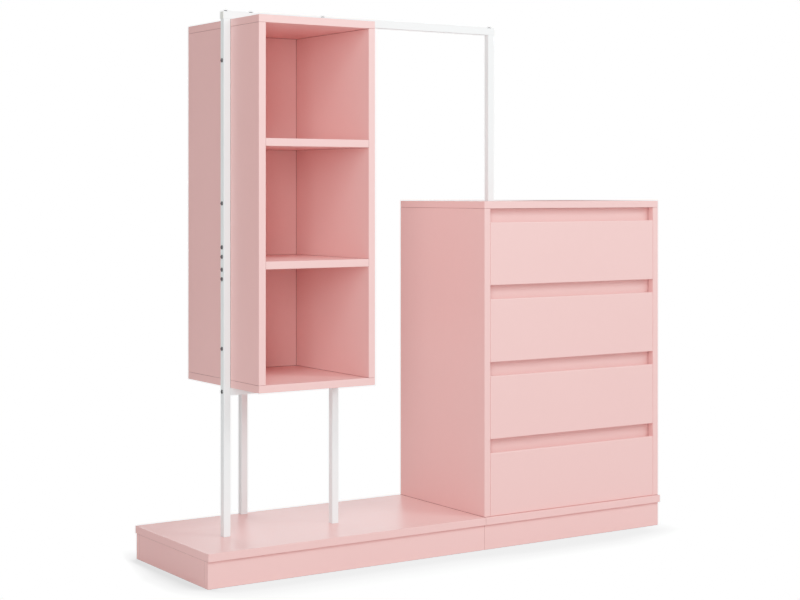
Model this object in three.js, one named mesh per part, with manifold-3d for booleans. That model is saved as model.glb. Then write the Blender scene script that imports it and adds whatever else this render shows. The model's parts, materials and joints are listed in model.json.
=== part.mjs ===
// Open wardrobe: a plinth platform that carries a four-drawer cabinet and a square-tube frame,
// which holds a shelf box in the air and a hanging bar beside it.
// Sizes are in millimetres. X runs to the right, Y to the back and Z up.
// The origin is on the floor, in the middle of the base boards' outline.

import * as THREE from "three";
import { mergeVertices } from "three/addons/utils/BufferGeometryUtils.js";
import Module from "manifold-3d";

const wasm = await Module();
wasm.setup();

// Base platform
const plinthLength = 1500;
const plinthDepth = 428;
const plinthHeight = 70;
const plinthThickness = 20;
const baseBoardThickness = 21;
const frontOverhang = 7;
const backOverhang = 3;
const endOverhang = 2;

// Panels of the cabinet and of the shelf box
const panelThickness = 20;
const panelEdge = 0.8;

// Cabinet
const cabinetWidth = 642;
const cabinetHeight = 880;
const cabinetBackThickness = 6;
const rebateWidth = 10;
const drawerCount = 4;

// Finger slots and the cross rails behind them
const slotHeight = 38;
const railThickness = 16;
const railGap = 2;
const railBelowFrontTop = 25;
const railAboveFrontBottom = 12;

// Drawer fronts
const frontThickness = 20;
const frontSideGap = 0.8;
const frontBottomGap = 0.8;
const frontTopRound = 4;
const lipThickness = 8;
const lipBackRound = 1.5;
const scoopStraight = 10;

// Drawer boxes
const drawerWall = 12;
const drawerHeadroom = 10;
const drawerFootroom = 10;
const drawerRearSpace = 52;
const bottomThickness = 4;
const bottomHeight = 12;
const grooveDepth = 5;
const fitGap = 0.3;

// Roller runners
const runnerSpace = 12.5;
const runnerSheet = 1.2;
const runnerFrontGap = 2;
const channelHeight = 22;
const channelDepth = 9;
const channelLip = 3;
const flangeRise = 1.8;
const flangeInset = 2.5;
const cradleWidth = 11;
const rollerThickness = 5;
const rollerHubLength = 1;
const rollerFrontRadius = 11;
const axleRadius = 2.5;
const runningGap = 0.3;

// Tube frame
const tubeSize = 20;
const tubeWall = 1.5;
const tubeCorner = 2;
const postHeight = 1362;
const frameLeftInset = 127;
const frameSetback = 158.5;
const rightPostInset = 129;
const spliceLength = 120;

// Shelf box
const shelfBoxWidth = 352;
const shelfBoxSetback = 3;
const compartmentHeight = 297;
const compartmentCount = 3;
const tubeLap = 328;

// Finish colours
const panelPink = 0xe9bdb9;
const frameWhite = 0xf2f1ee;
const boardBrown = 0xcdb9ac;
const runnerWhite = 0xe4e3df;

// How finely round shapes are divided
const roundSteps = 4;
const rollerSides = 20;

// Places worked out from the sizes
const plinthLeft = -plinthLength / 2;
const plinthRight = plinthLength / 2;
const boardBack = (frontOverhang + plinthDepth + backOverhang) / 2;
const boardFront = -boardBack;
const plinthFront = boardFront + frontOverhang;
const plinthBack = boardBack - backOverhang;
const baseTop = plinthHeight + baseBoardThickness;

const cabinetLeft = plinthRight - cabinetWidth;
const cabinetRight = plinthRight;
const cabinetTop = baseTop + cabinetHeight;
const cabinetCeiling = cabinetTop - panelThickness;
const cabinetMiddle = (cabinetLeft + cabinetRight) / 2;
const cabinetInnerWidth = cabinetWidth - 2 * panelThickness;
const drawerPitch = (cabinetCeiling - baseTop) / drawerCount;

const frontWidth = cabinetInnerWidth - 2 * frontSideGap;
const frontHeight = drawerPitch - slotHeight - frontBottomGap;
const scoopDrop = scoopStraight + frontThickness - lipThickness;
const frontBack = plinthFront + frontThickness;
const railFront = frontBack + railGap;

const drawerWidth = cabinetInnerWidth - 2 * runnerSpace;
const drawerBottom = railAboveFrontBottom + drawerFootroom;
const drawerTop = drawerPitch - slotHeight - railBelowFrontTop - drawerHeadroom;
const drawerBack = plinthBack - cabinetBackThickness - drawerRearSpace;
const drawerInnerHalf = drawerWidth / 2 - drawerWall;

const flangeHeight = channelHeight + flangeRise;
const rearRollerRadius = channelHeight / 2 - runnerSheet - runningGap;
const rollerStart = runnerSheet + rollerHubLength;
const rollerEnd = rollerStart + rollerThickness;
const runnerFront = frontBack + runnerFrontGap;
const runnerLength = drawerBack - runnerFront;

const barBottom = baseTop + postHeight;
const postLeft = plinthLeft + frameLeftInset;
const postRight = postLeft + tubeSize;
const frameFront = plinthFront + frameSetback;
const rightPostLeft = cabinetLeft + rightPostInset;
const barRight = rightPostLeft + tubeSize;

const shelfBoxLeft = postRight;
const shelfBoxRight = shelfBoxLeft + shelfBoxWidth;
const shelfBoxFront = plinthFront + shelfBoxSetback;
const shelfBoxBack = boardBack - tubeSize;
const shelfBoxHeight = compartmentCount * compartmentHeight + (compartmentCount + 1) * panelThickness;
const shelfBoxBottom = barBottom - shelfBoxHeight;
const spliceHeight = shelfBoxBottom + tubeLap;
const shortPostRight = shelfBoxRight - panelThickness;

// 32-bit vertices hold multiples of this step exactly, so faces that touch lie in one plane.
const gridStep = 1 / 1024;

// Vertices nearer than this are one vertex of a closed solid.
const mergeDistance = 1e-4;

// How far a cutting box reaches past what it cuts.
const cutMargin = 1;

function onGrid(value) {
  return Math.round(value / gridStep) * gridStep;
}

// Rounds each vertex to half a step, which is where the middle of two grid values lies.
function settle(geometry) {
  const numbers = geometry.attributes.position.array;
  for (let i = 0; i < numbers.length; i += 1) {
    numbers[i] = onGrid(2 * numbers[i]) / 2;
  }
  return geometry;
}

function finish(color, roughness, metalness) {
  return new THREE.MeshStandardMaterial({ color, roughness, metalness, flatShading: true });
}

const panelFinish = finish(panelPink, 0.45, 0);
const frameFinish = finish(frameWhite, 0.35, 0.1);
const hardboardFinish = finish(boardBrown, 0.8, 0);
const runnerFinish = finish(runnerWhite, 0.4, 0.3);

function solidOf(geometry) {
  const bare = geometry.clone();
  bare.deleteAttribute("normal");
  bare.deleteAttribute("uv");
  const merged = mergeVertices(bare, mergeDistance);
  const vertProperties = merged.attributes.position.array;
  const triVerts = new Uint32Array(merged.index.array);
  return new wasm.Manifold(new wasm.Mesh({ numProp: 3, vertProperties, triVerts }));
}

function geometryOf(solid) {
  const mesh = solid.getMesh();
  const geometry = new THREE.BufferGeometry();
  geometry.setAttribute("position", new THREE.BufferAttribute(mesh.vertProperties, 3));
  geometry.setIndex(new THREE.BufferAttribute(mesh.triVerts, 1));
  geometry.computeVertexNormals();
  return geometry;
}

// An extrusion along Z from 0 to length. A bevel takes edge off both ends' rims, inside the outline.
function extrude(shape, length, edge = 0) {
  const geometry = new THREE.ExtrudeGeometry(shape, {
    depth: length - 2 * edge,
    curveSegments: roundSteps,
    steps: 1,
    bevelEnabled: edge > 0,
    bevelThickness: edge,
    bevelSize: edge,
    bevelOffset: -edge,
    bevelSegments: 1,
  });
  return geometry.translate(0, 0, edge);
}

function outline(points) {
  return new THREE.Shape(points.map(([x, y]) => new THREE.Vector2(x, y)));
}

// A rectangle about the origin with its corners cut at 45 degrees.
function cutRectangle(width, height, cut) {
  const right = width / 2;
  const top = height / 2;
  return outline([
    [-right + cut, -top],
    [right - cut, -top],
    [right, -top + cut],
    [right, top - cut],
    [right - cut, top],
    [-right + cut, top],
    [-right, top - cut],
    [-right, -top + cut],
  ]);
}

function piece(name, geometry, material, place = [0, 0, 0]) {
  const mesh = new THREE.Mesh(settle(geometry), material);
  mesh.name = name;
  mesh.position.set(...place);
  return mesh;
}

// A board between two corners, with all its edges eased.
function board(name, low, high, material = panelFinish, edge = panelEdge) {
  const start = low.map(onGrid);
  const end = high.map(onGrid);
  const size = end.map((value, axis) => value - start[axis]);
  const middle = end.map((value, axis) => (value + start[axis]) / 2);
  const geometry = extrude(cutRectangle(size[0], size[1], edge), size[2], edge);
  return piece(name, geometry.translate(0, 0, -size[2] / 2), material, middle);
}

// A plain box between two corners, for cutting and for thin panels.
function plainBox(low, high) {
  const start = low.map(onGrid);
  const end = high.map(onGrid);
  const geometry = new THREE.BoxGeometry(...end.map((value, axis) => value - start[axis]));
  return geometry.translate(...end.map((value, axis) => (value + start[axis]) / 2));
}

// Base platform

function plinth() {
  const group = new THREE.Group();
  const innerFront = plinthFront + plinthThickness;
  const innerBack = plinthBack - plinthThickness;
  const sections = [
    ["left", plinthLeft, cabinetLeft],
    ["right", cabinetLeft, plinthRight],
  ];
  for (const [side, start, end] of sections) {
    group.add(
      board(`plinth_front_${side}`, [start, plinthFront, 0], [end, innerFront, plinthHeight]),
      board(`plinth_back_${side}`, [start, innerBack, 0], [end, plinthBack, plinthHeight]),
    );
  }
  const crossBoards = [
    ["plinth_end_left", plinthLeft],
    ["plinth_divider", cabinetLeft - plinthThickness / 2],
    ["plinth_end_right", plinthRight - plinthThickness],
  ];
  for (const [name, start] of crossBoards) {
    const end = start + plinthThickness;
    group.add(board(name, [start, innerFront, 0], [end, innerBack, plinthHeight]));
  }
  return group;
}

function baseBoards() {
  const group = new THREE.Group();
  const left = plinthLeft - endOverhang;
  const right = plinthRight + endOverhang;
  group.add(
    board("base_board_left", [left, boardFront, plinthHeight], [cabinetLeft, boardBack, baseTop]),
    board("base_board_right", [cabinetLeft, boardFront, plinthHeight], [right, boardBack, baseTop]),
  );
  return group;
}

// Cabinet

// A side panel: its plan is a strip with eased outer corners and a rebate at the inner rear corner.
function cabinetSide(name, outer, inward) {
  const front = onGrid(plinthFront);
  const back = onGrid(plinthBack);
  const outside = onGrid(outer);
  const inside = onGrid(outer + inward * panelThickness);
  const rebateX = inside - inward * rebateWidth;
  const rebateY = onGrid(back - cabinetBackThickness);
  const plan = outline([
    [outside + inward * panelEdge, front],
    [inside - inward * panelEdge, front],
    [inside, front + panelEdge],
    [inside, rebateY],
    [rebateX, rebateY],
    [rebateX, back],
    [outside + inward * panelEdge, back],
    [outside, back - panelEdge],
    [outside, front + panelEdge],
  ]);
  const bottom = onGrid(baseTop);
  const height = onGrid(cabinetCeiling) - bottom;
  return piece(name, extrude(plan, height, panelEdge).translate(0, 0, bottom), panelFinish);
}

function cabinetCase() {
  const group = new THREE.Group();
  const backLeft = cabinetLeft + panelThickness - rebateWidth + fitGap;
  const backRight = cabinetRight - panelThickness + rebateWidth - fitGap;
  const backFace = plinthBack - cabinetBackThickness;
  group.add(
    cabinetSide("cabinet_side_left", cabinetLeft, 1),
    cabinetSide("cabinet_side_right", cabinetRight, -1),
    board(
      "cabinet_top",
      [cabinetLeft, plinthFront, cabinetCeiling],
      [cabinetRight, plinthBack, cabinetTop],
    ),
    piece(
      "cabinet_back",
      plainBox([backLeft, backFace, baseTop], [backRight, plinthBack, cabinetCeiling]),
      hardboardFinish,
    ),
  );
  return group;
}

// A cross rail is the back wall of a finger slot. It reaches below the front's top edge and,
// except under the cabinet's top, above the bottom edge of the front over it.
function gripRail(number) {
  const pitchTop = cabinetCeiling - (number - 1) * drawerPitch;
  const top = number === 1 ? pitchTop : pitchTop + railAboveFrontBottom;
  const bottom = pitchTop - slotHeight - railBelowFrontTop;
  return board(
    `grip_rail_${number}`,
    [cabinetLeft + panelThickness, railFront, bottom],
    [cabinetRight - panelThickness, railFront + railThickness, top],
  );
}

// Roller runners. side is 1 on the cabinet's left and -1 on its right. Their sections are drawn
// from the cabinet side's face inwards, with height 0 at the drawer's lower edge.

function roller(radius, start, end) {
  const geometry = new THREE.CylinderGeometry(radius, radius, Math.abs(end - start), rollerSides);
  return geometry.rotateZ(Math.PI / 2).translate((start + end) / 2, 0, 0);
}

// A section in X and Z carried along Y from 0 to length.
function rolledProfile(points, length, side) {
  const shape = outline(points.map(([x, z]) => [side * x, z]));
  return settle(extrude(shape, length).rotateX(Math.PI / 2).translate(0, length, 0));
}

// The cabinet member: a lipped channel whose flanges are cut away round the front roller.
function cabinetMember(side) {
  const inner = channelDepth - runnerSheet;
  const top = channelHeight;
  const channel = rolledProfile(
    [
      [0, 0],
      [channelDepth, 0],
      [channelDepth, channelLip],
      [inner, channelLip],
      [inner, runnerSheet],
      [runnerSheet, runnerSheet],
      [runnerSheet, top - runnerSheet],
      [inner, top - runnerSheet],
      [inner, top - channelLip],
      [channelDepth, top - channelLip],
      [channelDepth, top],
      [0, top],
    ],
    runnerLength,
    side,
  );
  const rollerHeight = flangeHeight - runningGap - rollerFrontRadius;
  const rollerPlace = rollerFrontRadius + rollerHubLength;
  const cutEnd = 2 * rollerPlace + rollerHubLength;
  const cutSides = [side * runnerSheet, side * (channelDepth + cutMargin)];
  const cutter = plainBox(
    [Math.min(...cutSides), -cutMargin, -cutMargin],
    [Math.max(...cutSides), cutEnd, top + cutMargin],
  );
  const wheel = roller(rollerFrontRadius, side * rollerStart, side * rollerEnd);
  const axle = roller(axleRadius, side * runnerSheet / 2, side * (rollerEnd + rollerHubLength));
  return solidOf(channel)
    .subtract(solidOf(cutter))
    .add(solidOf(wheel.translate(0, rollerPlace, rollerHeight)))
    .add(solidOf(axle.translate(0, rollerPlace, rollerHeight)));
}

// The drawer member: a flange that rides on the front roller, a web against the drawer's side,
// a cradle under the side's lower edge, and the rear roller, which runs inside the channel.
function drawerMember(side) {
  const web = runnerSpace - runnerSheet;
  const profile = rolledProfile(
    [
      [flangeInset, flangeHeight],
      [web, flangeHeight],
      [web, -runnerSheet],
      [web + runnerSheet + cradleWidth, -runnerSheet],
      [web + runnerSheet + cradleWidth, 0],
      [runnerSpace, 0],
      [runnerSpace, flangeHeight + runnerSheet],
      [flangeInset, flangeHeight + runnerSheet],
    ],
    runnerLength,
    side,
  );
  const rollerPlace = runnerLength - rollerFrontRadius;
  const rollerHeight = channelHeight / 2;
  const wheel = roller(rearRollerRadius, side * rollerStart, side * rollerEnd);
  const axle = roller(axleRadius, side * (rollerEnd - rollerHubLength), side * (web + runnerSheet / 2));
  return solidOf(profile)
    .add(solidOf(wheel.translate(0, rollerPlace, rollerHeight)))
    .add(solidOf(axle.translate(0, rollerPlace, rollerHeight)));
}

// Puts one runner member at each side of the cabinet, level with a drawer's lower edge.
function runnerPair(kind, number, makeMember) {
  const group = new THREE.Group();
  const pitchBottom = cabinetCeiling - number * drawerPitch;
  const height = onGrid(pitchBottom + drawerBottom);
  const sides = [
    ["left", cabinetLeft + panelThickness, 1],
    ["right", cabinetRight - panelThickness, -1],
  ];
  for (const [label, face, side] of sides) {
    const geometry = geometryOf(makeMember(side));
    const place = [onGrid(face), onGrid(runnerFront), height];
    group.add(piece(`${kind}_${number}_${label}`, geometry, runnerFinish, place));
  }
  return group;
}

// Drawers

// The space that a drawer's bottom panel and its grooves take, about the drawer's own middle.
function bottomSpace(gap) {
  const half = drawerInnerHalf + grooveDepth - gap;
  const low = drawerBottom + bottomHeight;
  const high = low + bottomThickness + fitGap - gap;
  const front = frontBack - grooveDepth + gap;
  const back = drawerBack - drawerWall + grooveDepth - gap;
  return plainBox([-half, front, low], [half, back, high]);
}

// The front's section: a square lower edge, a rounded top front edge, and behind the lip
// a scoop for the fingers that falls straight and then runs out to the back in a quarter round.
function frontSection() {
  const top = frontHeight;
  const coveRadius = frontThickness - lipThickness;
  const shape = new THREE.Shape();
  shape.moveTo(panelEdge, 0);
  shape.lineTo(frontThickness - panelEdge, 0);
  shape.lineTo(frontThickness, panelEdge);
  shape.lineTo(frontThickness, top - scoopDrop);
  shape.absarc(frontThickness, top - scoopStraight, coveRadius, 1.5 * Math.PI, Math.PI, true);
  shape.lineTo(lipThickness, top - lipBackRound);
  shape.absarc(lipThickness - lipBackRound, top - lipBackRound, lipBackRound, 0, Math.PI / 2, false);
  shape.lineTo(frontTopRound, top);
  shape.absarc(frontTopRound, top - frontTopRound, frontTopRound, Math.PI / 2, Math.PI, false);
  shape.lineTo(0, panelEdge);
  shape.closePath();
  return shape;
}

function drawerFront() {
  const sectionToSpace = new THREE.Matrix4().makeBasis(
    new THREE.Vector3(0, 1, 0),
    new THREE.Vector3(0, 0, 1),
    new THREE.Vector3(1, 0, 0),
  );
  const width = onGrid(frontWidth);
  const geometry = extrude(frontSection(), width, panelEdge).applyMatrix4(sectionToSpace);
  geometry.translate(-width / 2, plinthFront, frontBottomGap);
  return solidOf(settle(geometry)).subtract(solidOf(bottomSpace(0)));
}

// Two sides and a back in one folded piece, grooved inside for the bottom panel.
function drawerWrap() {
  const outer = drawerWidth / 2;
  const plan = outline([
    [-outer, frontBack],
    [-drawerInnerHalf, frontBack],
    [-drawerInnerHalf, drawerBack - drawerWall],
    [drawerInnerHalf, drawerBack - drawerWall],
    [drawerInnerHalf, frontBack],
    [outer, frontBack],
    [outer, drawerBack],
    [-outer, drawerBack],
  ]);
  const geometry = extrude(plan, drawerTop - drawerBottom, panelEdge).translate(0, 0, drawerBottom);
  return solidOf(settle(geometry)).subtract(solidOf(bottomSpace(0)));
}

function drawer(number) {
  const group = new THREE.Group();
  const place = [onGrid(cabinetMiddle), 0, onGrid(cabinetCeiling - number * drawerPitch)];
  group.add(
    piece(`drawer_${number}_front`, geometryOf(drawerFront()), panelFinish, place),
    piece(`drawer_${number}_wrap`, geometryOf(drawerWrap()), panelFinish, place),
    piece(`drawer_${number}_bottom`, bottomSpace(fitGap), hardboardFinish, place),
    runnerPair("drawer_runner", number, drawerMember),
  );
  return group;
}

// Shelf box

function shelfBox() {
  const group = new THREE.Group();
  const innerLeft = shelfBoxLeft + panelThickness;
  const innerRight = shelfBoxRight - panelThickness;
  const floor = shelfBoxBottom + panelThickness;
  const ceiling = barBottom - panelThickness;
  const backFace = shelfBoxBack - panelThickness;
  const caps = [
    ["shelf_box_bottom", shelfBoxBottom, floor],
    ["shelf_box_top", ceiling, barBottom],
  ];
  for (const [name, low, high] of caps) {
    group.add(board(name, [shelfBoxLeft, shelfBoxFront, low], [shelfBoxRight, shelfBoxBack, high]));
  }
  const walls = [
    ["shelf_box_side_left", [shelfBoxLeft, shelfBoxFront], [innerLeft, shelfBoxBack]],
    ["shelf_box_side_right", [innerRight, shelfBoxFront], [shelfBoxRight, shelfBoxBack]],
    ["shelf_box_back", [innerLeft, backFace], [innerRight, shelfBoxBack]],
  ];
  for (const [name, low, high] of walls) {
    group.add(board(name, [...low, floor], [...high, ceiling]));
  }
  for (let number = 1; number < compartmentCount; number += 1) {
    const top = ceiling - number * compartmentHeight - (number - 1) * panelThickness;
    group.add(
      board(
        `shelf_${number}`,
        [innerLeft, shelfBoxFront, top - panelThickness],
        [innerRight, backFace, top],
      ),
    );
  }
  return group;
}

// Tube frame

// A square tube with rounded corners and open ends, centred, along Z.
function squareTube(size, wall, corner, length) {
  const half = size / 2;
  const flat = half - corner;
  const shape = new THREE.Shape();
  shape.moveTo(-flat, -half);
  shape.absarc(flat, -flat, corner, -Math.PI / 2, 0, false);
  shape.absarc(flat, flat, corner, 0, Math.PI / 2, false);
  shape.absarc(-flat, flat, corner, Math.PI / 2, Math.PI, false);
  shape.absarc(-flat, -flat, corner, Math.PI, 1.5 * Math.PI, false);
  shape.closePath();
  const bore = half - wall;
  shape.holes.push(
    outline([
      [-bore, -bore],
      [-bore, bore],
      [bore, bore],
      [bore, -bore],
    ]),
  );
  return extrude(shape, length).translate(0, 0, -length / 2);
}

function uprightTube(name, left, front, bottom, top) {
  const start = onGrid(bottom);
  const end = onGrid(top);
  const place = [onGrid(left) + tubeSize / 2, onGrid(front) + tubeSize / 2, (start + end) / 2];
  return piece(name, squareTube(tubeSize, tubeWall, tubeCorner, end - start), frameFinish, place);
}

function levelTube(name, left, right, front, bottom) {
  const start = onGrid(left);
  const end = onGrid(right);
  const place = [(start + end) / 2, onGrid(front) + tubeSize / 2, onGrid(bottom) + tubeSize / 2];
  const geometry = squareTube(tubeSize, tubeWall, tubeCorner, end - start);
  return piece(name, geometry.rotateY(Math.PI / 2), frameFinish, place);
}

// The sleeve that joins the front post's two lengths slides inside them.
function spliceSleeve() {
  const size = tubeSize - 2 * tubeWall - 2 * fitGap;
  const geometry = squareTube(size, tubeWall, tubeCorner / 2, spliceLength);
  const place = [postLeft + tubeSize / 2, frameFront + tubeSize / 2, onGrid(spliceHeight)];
  return piece("post_splice", geometry, runnerFinish, place);
}

function tubeFrame() {
  const group = new THREE.Group();
  const rearPostLeft = (shelfBoxLeft + shelfBoxRight - tubeSize) / 2;
  group.add(
    uprightTube("front_post_lower", postLeft, frameFront, baseTop, spliceHeight),
    uprightTube("front_post_upper", postLeft, frameFront, spliceHeight, barBottom),
    uprightTube("rear_post", rearPostLeft, shelfBoxBack, baseTop, spliceHeight),
    uprightTube("short_post", shortPostRight - tubeSize, frameFront, baseTop, shelfBoxBottom),
    uprightTube("right_post", rightPostLeft, frameFront, cabinetTop, barBottom),
    levelTube("top_bar", postLeft, barRight, frameFront, barBottom),
    levelTube("lower_rail", postRight, shortPostRight - tubeSize, frameFront, shelfBoxBottom - tubeSize),
    spliceSleeve(),
  );
  return group;
}

function wardrobe() {
  const group = new THREE.Group();
  group.name = "wardrobe";
  group.add(plinth(), baseBoards(), cabinetCase(), shelfBox(), tubeFrame());
  for (let number = 1; number <= drawerCount; number += 1) {
    group.add(gripRail(number), runnerPair("cabinet_runner", number, cabinetMember), drawer(number));
  }
  return group;
}

export default wardrobe();
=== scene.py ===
"""Open wardrobe: paint, powder coat, small fittings and a studio round the fixed frame.

The frame gives every board, tube, drawer and runner at its real size. This add-on finishes those
surfaces, softens their edges, adds the bolts, caps, pins, cams and rollers that go with them, and
sets the floor, lights and camera. All sizes are in metres, in the frame's own axes: X to the
right, Y to the back and Z up.
"""

import json
import math

import bpy
import numpy as np
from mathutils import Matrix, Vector


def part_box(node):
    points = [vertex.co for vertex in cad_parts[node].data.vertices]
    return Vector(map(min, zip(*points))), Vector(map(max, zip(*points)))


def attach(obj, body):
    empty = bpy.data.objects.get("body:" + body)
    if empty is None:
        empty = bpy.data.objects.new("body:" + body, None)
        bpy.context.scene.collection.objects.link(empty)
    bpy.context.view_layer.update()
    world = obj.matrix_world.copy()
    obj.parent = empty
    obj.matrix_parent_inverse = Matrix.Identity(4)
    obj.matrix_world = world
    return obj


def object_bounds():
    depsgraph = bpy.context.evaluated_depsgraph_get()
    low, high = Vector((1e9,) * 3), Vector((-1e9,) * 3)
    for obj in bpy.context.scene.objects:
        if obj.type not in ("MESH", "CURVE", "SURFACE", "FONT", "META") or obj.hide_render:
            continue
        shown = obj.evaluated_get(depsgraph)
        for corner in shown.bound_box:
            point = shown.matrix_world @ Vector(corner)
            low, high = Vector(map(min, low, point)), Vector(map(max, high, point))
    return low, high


bl_info = {
    "name": "Open wardrobe",
    "version": (1, 0, 0),
    "blender": (4, 5, 0),
    "location": "3D View > Sidebar > Wardrobe",
    "description": "Finishes, fittings and studio of an open wardrobe with drawers and a shelf box",
    "category": "Object",
}

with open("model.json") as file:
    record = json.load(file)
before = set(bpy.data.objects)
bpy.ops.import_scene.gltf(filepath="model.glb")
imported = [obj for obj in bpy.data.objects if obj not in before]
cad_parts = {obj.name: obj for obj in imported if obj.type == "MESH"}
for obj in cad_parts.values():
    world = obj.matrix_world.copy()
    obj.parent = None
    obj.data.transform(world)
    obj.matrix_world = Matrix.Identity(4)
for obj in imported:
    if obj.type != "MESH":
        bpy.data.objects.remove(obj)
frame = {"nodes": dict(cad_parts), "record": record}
cad_low, cad_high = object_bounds()

MM = 0.001
DRAWERS = ("drawer_1", "drawer_2", "drawer_3", "drawer_4")

# Places of the fittings, measured from the boards and tubes that they hold
BAR_BOLT_INSET = 65 * MM
BOX_BOLT_DROP = 109 * MM
BOX_BOLT_RISE = 103 * MM
SPLICE_BOLT_STEPS = (-42 * MM, -17 * MM, 17 * MM, 42 * MM)
REAR_BOLT_INSET = 60 * MM
PIN_SPACING = 110 * MM
PIN_INSET = 5 * MM
CAM_INSET = 34 * MM
RUNNER_SCREW_SHARES = (0.12, 0.5, 0.86)
RUNNER_SCREW_RISE = 14 * MM
RUNNER_SHEET = 1.2 * MM

# The rollers inside the runners: their lane, from the cabinet's side, and their middles, from the
# runners' ends, top and bottom
ROLLER_LANE = 4.7 * MM
ROLLER_THICKNESS = 5 * MM
FRONT_ROLLER_RADIUS = 11 * MM
FRONT_ROLLER_INSET = 12 * MM
REAR_ROLLER_RADIUS = 9.5 * MM
REAR_ROLLER_INSET = 11 * MM
REAR_ROLLER_RISE = 12.2 * MM

# The photograph's camera: its place, its turn to the right of straight back, its lens, the
# photograph's size and the row of its horizon in pixels, and how far the camera sees
CAMERA_PLACE = (-2.6746, -4.0204, 1.00255)
CAMERA_TURN = math.radians(33.29)
CAMERA_LENS_MM = 76.13
SENSOR_WIDTH_MM = 36.0
PHOTO_WIDTH = 800
PHOTO_HEIGHT = 600
HORIZON_ROW = 190.07
CAMERA_REACH = 100.0

# The tone curve: it holds back the highlights as if SHOULDER_LEVEL were white, up to TOP_LEVEL,
# and then goes straight to white at WHITE_LEVEL. The backdrop is a trace over that level
SHOULDER_LEVEL = 2.0
TOP_LEVEL = 1.7
WHITE_LEVEL = 1.75
CURVE_STEPS = 12
BACKDROP_LEVEL = WHITE_LEVEL * 1.004

# The contact shadow painted into the floor's glow: its reach and depth along the long sides, and at
# the left end (_END), its reach at the back of that end and at the right end, the shares of the room
# that are hidden where it starts and where it is full, the width over which it fades out, and the
# rays that find it
SHADOW_REACH = 0.2
SHADOW_REACH_END = 0.11
SHADOW_REACH_BACK = 0.035
SHADOW_REACH_RIGHT = 0.11
SHADOW_DEPTH = 0.14
SHADOW_DEPTH_END = 0.34
SHADOW_START_SHARE = 0.04
SHADOW_FULL_SHARE = 0.25
SHADOW_FULL_SHARE_END = 0.5
SHADOW_FADE = 0.12
SHADOW_RAYS = 16

# Painted shade in the hairline joints between boards and in inside corners, where the paint is
# darkened by how hemmed in a point is: how far it reaches, how open a point is where it starts and
# where it is full, how dark it is, the rays that find it, and how far the drawer fronts' gaps, where
# it is left out, reach beyond the fronts, sideways and forwards
CREVICE_SHADE_REACH = 1.6 * MM
CREVICE_SHADE_START_SHARE = 0.95
CREVICE_SHADE_FULL_SHARE = 0.6
CREVICE_SHADE = 0.3
CREVICE_SHADE_RAYS = 8
GAP_MARGIN = 1.5 * MM
GAP_MARGIN_FRONT = 0.1 * MM

# The studio's softboxes: their distance from the wardrobe's middle, their size, how many degrees
# the level and the high ones stand over the middle, and the place and size of the near one
STUDIO_MIDDLE = (0, 0, 0.75)
SOFTBOX_DISTANCE = 5.0
SOFTBOX_SIZE = (1.9, 1.9)
LEVEL_RISE = 8
HIGH_RISE = 30
NEAR_PLACE = (-0.5, -2.2, 3.2)
NEAR_TARGET = (0, -0.2, 0.8)
NEAR_SIZE = (1.6, 1.2)

# The floor's half width, its tone where the camera doesn't see it, and plain white
FLOOR_HALF = 30.0
FLOOR_GREY = (0.75, 0.75, 0.75, 1)
WHITE = (1, 1, 1, 1)

# How the frame's own edges are softened: the gap that is closed between its loose triangles, the
# turn below which faces count as one, and the turn from which an edge is rounded
WELD_GAP = 0.01 * MM
FLAT_TURN = math.radians(0.3)
ROUNDED_TURN = math.radians(30)
ROUNDING_SEGMENTS = 2

# How finely small round fittings are divided, and the turn from which their edges look sharp
HEAD_SIDES = 36
CAP_SIDES = 48
CREASE_TURN = math.radians(35)

# How strongly paint and powder coat bend light
COATING_IOR = 1.5


class WardrobeColours(bpy.types.PropertyGroup):
    """Base colours of the wardrobe's finishes, scene linear."""

    paint: bpy.props.FloatVectorProperty(
        name="Panel paint",
        description="Powder-pink paint of the boards and drawer fronts",
        subtype="COLOR",
        size=3,
        min=0.0,
        max=1.0,
        default=(0.87, 0.463, 0.443),
    )
    # The powder coat's white is tilted a little from red towards cyan, to cancel the pink light that the
    # boards bounce onto the tubes: a painted correction of light
    coat: bpy.props.FloatVectorProperty(
        name="Powder coat",
        description="White powder coat of the tube frame",
        subtype="COLOR",
        size=3,
        min=0.0,
        max=1.0,
        default=(0.858, 0.903, 0.905),
    )
    hardboard: bpy.props.FloatVectorProperty(
        name="Hardboard",
        description="Lacquered hardboard of the cabinet's back and the drawers' bottoms",
        subtype="COLOR",
        size=3,
        min=0.0,
        max=1.0,
        default=(0.78, 0.52, 0.46),
    )
    runner: bpy.props.FloatVectorProperty(
        name="Runner coat",
        description="Cream epoxy coat of the runners",
        subtype="COLOR",
        size=3,
        min=0.0,
        max=1.0,
        default=(0.78, 0.77, 0.72),
    )
    roller: bpy.props.FloatVectorProperty(
        name="Roller nylon",
        description="White nylon of the rollers",
        subtype="COLOR",
        size=3,
        min=0.0,
        max=1.0,
        default=(0.86, 0.86, 0.84),
    )
    steel: bpy.props.FloatVectorProperty(
        name="Bolt steel",
        description="Dark zinc plate of the bolts and screws",
        subtype="COLOR",
        size=3,
        min=0.0,
        max=1.0,
        default=(0.115, 0.115, 0.118),
    )
    cap: bpy.props.FloatVectorProperty(
        name="Cap plastic",
        description="Pale warm plastic of the caps on the open ends of the tubes",
        subtype="COLOR",
        size=3,
        min=0.0,
        max=1.0,
        default=(0.84, 0.85, 0.79),
    )


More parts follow.
